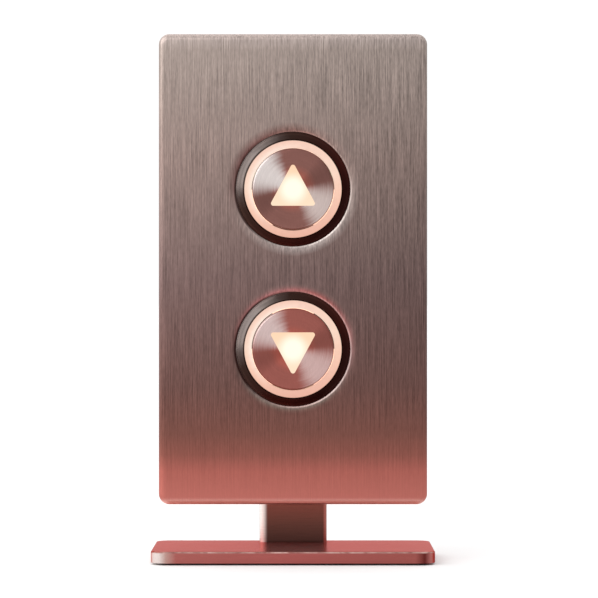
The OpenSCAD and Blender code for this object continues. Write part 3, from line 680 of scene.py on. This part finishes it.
def turned_mesh(name, loops, ring=False):
    """Skins loops about the Y axis. A loop is (reach, y, sides): six sides make a hexagon of that corner reach."""
    points = []
    for reach, y, sides in loops:
        for k in range(LOOP_POINTS):
            turn = math.tau * k / LOOP_POINTS
            bend = 1.0
            if sides:
                half = math.pi / sides
                bend = math.cos(half) / math.cos(turn % (2 * half) - half)
            points.append((reach * bend * math.cos(turn), y, reach * bend * math.sin(turn)))
    faces = []
    last = len(loops) if ring else len(loops) - 1
    for i in range(last):
        for k in range(LOOP_POINTS):
            a, b = i * LOOP_POINTS, (i + 1) % len(loops) * LOOP_POINTS
            j = (k + 1) % LOOP_POINTS
            faces.append((a + k, b + k, b + j, a + j))
    if not ring:
        faces.append(tuple(range(LOOP_POINTS)))
        faces.append(tuple(reversed(range(len(points) - LOOP_POINTS, len(points)))))
    mesh = bpy.data.meshes.new(name)
    mesh.from_pydata(points, [], faces)
    mesh.validate()
    return mesh


# Screws, in shares of the thread's diameter
HEAD_R = 0.95
BUTTON_HEAD_H = 0.55
THREAD_PITCH = 0.2
THREAD_ROOT_R = 0.42
TIP_R = 0.32
KEY_RIM_R = 0.41
KEY_CORNER_R = 0.36
KEY_DEPTH = 0.5
# A button head's crown, in shares of the head's radius
CROWN_R = 1.3


def shank_loops(d, length):
    """Loops from a screw's tip up to just under its head, with a coarse thread cut in as grooves."""
    pitch = THREAD_PITCH * d
    loops = [(TIP_R * d, -length, 0), (THREAD_ROOT_R * d, -length + pitch / 2, 0)]
    y = -length + pitch
    while y < -0.5 * d - pitch:
        loops += [(0.5 * d, y, 0), (THREAD_ROOT_R * d, y + pitch / 2, 0)]
        y += pitch
    return loops + [(0.5 * d, y, 0)]


def socket_loops(d, rim_y):
    """Loops of a hexagonal key socket whose rim is at rim_y."""
    corner = KEY_CORNER_R * d
    depth = KEY_DEPTH * d
    return [
        (KEY_RIM_R * d, rim_y, 6),
        (corner, rim_y - 0.04 * d, 6),
        (corner, rim_y - 0.92 * depth, 6),
        (0.7 * corner, rim_y - depth, 0),
    ]


def button_screw(d, length):
    """A round-headed screw along Y with its head's seat at 0 and its head towards +Y."""
    head_r = HEAD_R * d
    crown_r = CROWN_R * head_r
    crown_middle = BUTTON_HEAD_H * d - crown_r
    crown_end, steps = 0.46 * d, 6
    loops = shank_loops(d, length) + [(0.5 * d, 0.0, 0), (head_r - 0.04 * d, 0.0, 0), (head_r, 0.04 * d, 0)]
    for step in range(steps + 1):
        reach = head_r - (head_r - crown_end) * step / steps
        loops.append((reach, crown_middle + math.sqrt(crown_r ** 2 - reach ** 2), 0))
    rim_y = crown_middle + math.sqrt(crown_r ** 2 - (KEY_RIM_R * d) ** 2)
    return turned_mesh("button_screw", loops + socket_loops(d, rim_y))


def countersunk_screw(d, length):
    """A flat-headed screw along Y with its head's flat at 0, towards +Y."""
    head_r = HEAD_R * d
    head_h = head_r - 0.5 * d
    loops = shank_loops(d, length) + [
        (0.5 * d, -head_h, 0), (head_r - 0.03 * d, -0.03 * d, 0), (head_r - 0.06 * d, 0.0, 0), (0.45 * d, 0.0, 0),
    ]
    return turned_mesh("countersunk_screw", loops + socket_loops(d, 0.0))


def set_out(name, group, model, finish, places, axis, seed):
    """Sets copies of a fastener at the given places and makes them one mesh."""
    fastener = bpy.data.objects.new(model.name, model)
    bpy.context.scene.collection.objects.link(fastener)
    start = bpy.data.meshes.new(f"{name}_points")
    start.from_pydata(places, [], [])
    mesh = grow(name, group, {"Fastener": fastener, "Axis": axis, "Seed": seed, "Finish": finish}, start)
    bpy.data.objects.remove(fastener)
    return mesh


def dress(material, *names):
    """Gives CAD nodes a finish."""
    for name in names:
        slots = nodes[name].data.materials
        slots.clear()
        slots.append(material)


# Finishes on the solids

zinc = plated_steel("zinc_plate", srgb(200, 200, 204))
black = moulded("black_moulding", srgb(36, 36, 38))
rubber = moulded("rubber", srgb(26, 26, 27), roughness=0.75, pebble=0.4)
clear = moulded(
    "lit_moulding", srgb(226, 222, 214), roughness=0.2, transmission_weight=0.6,
    emission_color=srgb(236, 186, 164), emission_strength=0.8,
)
brass = plated_steel("brass_pin", srgb(206, 170, 96))
spring_wire = plated_steel("spring_wire", srgb(176, 176, 180), 0.25)
lamp_white = moulded(
    "lit_lamp", srgb(245, 240, 228), roughness=0.35, emission_color=srgb(255, 214, 186), emission_strength=3.0,
)

dress(hairline_steel("hairline_plate", painted_dishes=True), "faceplate")
dress(hairline_steel("hairline_cover"), "rear_cover")
dress(satin_post(), "post")
dress(satin_base(), "base_plate")
dress(rubber, "foot_pad", "cable_grommet")
dress(
    zinc, "cover_brackets", "cover_screws", "weld_studs", "stud_nuts", "board_screws", "terminal_screws",
    "press_nuts", "post_screws", "base_screws",
)
dress(circuit_board(), "main_board")
dress(moulded("terminal_green", srgb(60, 130, 88)), "terminal_block")
dress(plated_steel("capacitor_can", srgb(190, 194, 198), 0.25), "capacitors")
dress(black, "driver_chip")
for way, centre in BUTTONS.items():
    dress(gunmetal(f"{way}_gunmetal", centre), f"{way}_bezel")
    dress(lit_ring(f"{way}_lit_ring", centre), f"{way}_halo_ring")
    dress(turned_steel(f"{way}_turned_steel", centre, CAP_LOOKS[way]), f"{way}_cap")
    dress(lit_arrow(f"{way}_lit_arrow", centre), f"{way}_arrow_lens")
    dress(black, f"{way}_housing", f"{way}_switch_body")
    dress(clear, f"{way}_plunger")
    dress(brass, f"{way}_switch_plunger")
    dress(spring_wire, f"{way}_return_spring")
    dress(lamp_white, f"{way}_lamps")


# Return springs, squeezed between the plunger and the housing's floor when a button goes in

WIRE_R = 0.45 * MM
TURNS = 5.0
CLOSED_TURNS = 0.75
coil_spring = coil_spring_group()
for way, centre in BUTTONS.items():
    low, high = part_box(f"{way}_return_spring")
    spring = new_piece(
        f"{way}_coil_spring",
        grow(
            f"{way}_coil_spring", coil_spring,
            {
                "Turns": TURNS, "Closed Turns": CLOSED_TURNS, "Coil Radius": (high.x - low.x) / 2 - WIRE_R,
                "Wire Radius": WIRE_R, "Length": high.y - low.y - 2 * WIRE_R,
                "Place": (centre.x, low.y + WIRE_R, centre.z), "Finish": spring_wire,
            },
        ),
        "panel", "spring_steel", f"{way}_return_spring",
    )
    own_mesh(spring)


# Screws with key sockets and threads

def evenly(first, last, count):
    """Places from first to last at even steps."""
    return [first + (last - first) * i / max(count - 1, 1) for i in range(count)]


def rows_of_heads(low, high, head_r, face_y, columns, rows):
    """Places on a face for screws whose heads reach to the sides of a box."""
    xs = evenly(low.x + head_r, high.x - head_r, columns)
    zs = evenly(low.z + head_r, high.z - head_r, rows)
    return [(x, face_y, z) for x in xs for z in zs]


def fit_screws(name, stands_for, model, places, axis, seed):
    """Sets zinc-plated screws on the panel instead of a node's plain ones."""
    mesh = set_out(name, set_out_screws, model, zinc, places, axis, seed)
    new_piece(name, mesh, "panel", "zinc", stands_for)


set_out_screws = set_out_group()
TOWARDS_BACK = (0.0, 1.0, 0.0)
TOWARDS_FLOOR = (0.0, 0.0, 1.0)
COVER_SCREW_D = 3 * MM
POST_SCREW_D = 4 * MM
BASE_SCREW_D = 3 * MM

low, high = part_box("cover_screws")
cover_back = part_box("rear_cover")[1].y
fit_screws(
    "cover_key_screws", "cover_screws", button_screw(COVER_SCREW_D, cover_back - low.y),
    rows_of_heads(low, high, HEAD_R * COVER_SCREW_D, cover_back, columns=2, rows=2), TOWARDS_BACK, seed=3,
)

low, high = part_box("post_screws")
fit_screws(
    "post_key_screws", "post_screws", countersunk_screw(POST_SCREW_D, high.y - low.y),
    rows_of_heads(low, high, HEAD_R * POST_SCREW_D, high.y, columns=1, rows=2), TOWARDS_BACK, seed=5,
)

# The base screws go up into the post, heads down
low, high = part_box("base_screws")
upright_screw = countersunk_screw(BASE_SCREW_D, high.z - low.z)
upright_screw.transform(Matrix.Rotation(math.radians(-90), 4, "X"))
middle_y = (low.y + high.y) / 2
xs = evenly(low.x + HEAD_R * BASE_SCREW_D, high.x - HEAD_R * BASE_SCREW_D, 2)
fit_screws(
    "base_key_screws", "base_screws", upright_screw, [(x, middle_y, low.z) for x in xs], TOWARDS_FLOOR, seed=7
)


# Cable grommet with rolled lips

GROMMET_BORE_R = 2.5 * MM
GROMMET_NECK_R = 4.5 * MM
GROMMET_LIP_T = 1.8 * MM
# How far the bore's mouths open, and where their rounding is halfway
GROMMET_BELL = 0.5 * MM
GROMMET_BELL_MIDDLE = 0.15 * MM


def rolled_lip(outer, front, back, steps=8):
    """Loops round the outside of a lip with a half-round edge."""
    middle, roll = (front + back) / 2, (back - front) / 2
    turns = [math.pi * (i / steps - 0.5) for i in range(steps + 1)]
    return [(outer - roll + roll * math.cos(t), middle + roll * math.sin(t), 0) for t in turns]


def belled_bore(bore_r, front, back):
    """Loops through a bore from back to front, with rounded mouths."""
    mouth = [(GROMMET_BELL, 0.0), (GROMMET_BELL_MIDDLE, GROMMET_BELL_MIDDLE), (0.0, GROMMET_BELL)]
    loops = [(bore_r + out, back - deep, 0) for out, deep in mouth]
    return loops + [(bore_r + out, front + deep, 0) for out, deep in reversed(mouth)]


low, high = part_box("cable_grommet")
grommet_place = (low + high) / 2
lip_r = (high.x - low.x) / 2
front_lip, back_lip = low.y + GROMMET_LIP_T, high.y - GROMMET_LIP_T
loops = rolled_lip(lip_r, low.y, front_lip)
loops += [(GROMMET_NECK_R, front_lip, 0), (GROMMET_NECK_R, back_lip, 0)]
loops += rolled_lip(lip_r, back_lip, high.y)
loops += belled_bore(GROMMET_BORE_R, low.y, high.y)
grommet = turned_mesh("rolled_grommet", loops, ring=True)
grommet.transform(Matrix.Translation((grommet_place.x, 0.0, grommet_place.z)))
grommet.shade_smooth()
grommet.set_sharp_from_angle(angle=CRISP_EDGE)
grommet.materials.append(rubber)
new_piece("rolled_grommet", grommet, "panel", "rubber", "cable_grommet")


# Stage, light and camera

def add_floor():
    """A wide pale floor just under the foot pad."""
    mesh = bpy.data.meshes.new("floor")
    reach, level = 40.0, -0.2 * MM
    mesh.from_pydata(
        [(-reach, -reach, level), (reach, -reach, level), (reach, reach, level), (-reach, reach, level)],
        [], [(0, 1, 2, 3)],
    )
    floor = bpy.data.objects.new("floor", mesh)
    bpy.context.scene.collection.objects.link(floor)
    material, _, _ = new_material(
        "pale_floor", roughness=0.9, specular_ior_level=0.0, base_color=(0.95, 0.95, 0.95)
    )
    mesh.materials.append(material)


def add_world():
    """White behind the object, and a neutral studio in front that is lighter to the left and above."""
    world = bpy.data.worlds.new("studio")
    bpy.context.scene.world = world
    world.use_nodes = True
    tree = Tree(world.node_tree)
    way = tree.add("ShaderNodeSeparateXYZ", {0: tree.add("ShaderNodeTexCoord").outputs["Generated"]})
    left = tree.spread(way.outputs["X"], -1.0, 0.0, 0.55, 0.0)
    above = tree.math("MULTIPLY", way.outputs["Z"], 0.2)
    behind = tree.spread(way.outputs["Y"], -0.4, 0.6, 0.88, 1.02, smooth=True)
    level = tree.math("ADD", tree.math("ADD", left, above), behind)
    background = world.node_tree.nodes["Background"]
    background.inputs["Color"].default_value = (1.0, 1.0, 1.0, 1.0)
    world.node_tree.links.new(tree.math("MAXIMUM", level, 0.1), background.inputs["Strength"])


def add_softbox(name, place, aim, size, power):
    """A plain white rectangular lamp that faces its aim."""
    data = bpy.data.lights.new(name, "AREA")
    data.shape = "RECTANGLE"
    data.size, data.size_y = size
    data.energy = power
    lamp = bpy.data.objects.new(name, data)
    bpy.context.scene.collection.objects.link(lamp)
    lamp.location = place
    lamp.rotation_euler = (Vector(aim) - Vector(place)).to_track_quat("-Z", "Y").to_euler()


def add_camera():
    """A level camera that looks along +Y."""
    data = bpy.data.cameras.new("camera")
    data.lens = CAMERA_LENS
    data.sensor_width = SENSOR
    camera = bpy.data.objects.new("camera", data)
    bpy.context.scene.collection.objects.link(camera)
    camera.location = CAMERA_PLACE
    camera.rotation_euler = (math.radians(90), 0.0, 0.0)
    bpy.context.scene.camera = camera


add_floor()
add_world()
panel_middle = (panel_low + panel_high) / 2
add_softbox("left_softbox", place=(-0.75, -0.40, 0.50), aim=panel_middle, size=(0.45, 0.8), power=1.5)
add_softbox("key_softbox", place=(-0.34, -0.90, 0.47), aim=panel_middle, size=(0.25, 0.25), power=0.5)
add_camera()
bpy.context.scene.view_settings.view_transform = "Standard"
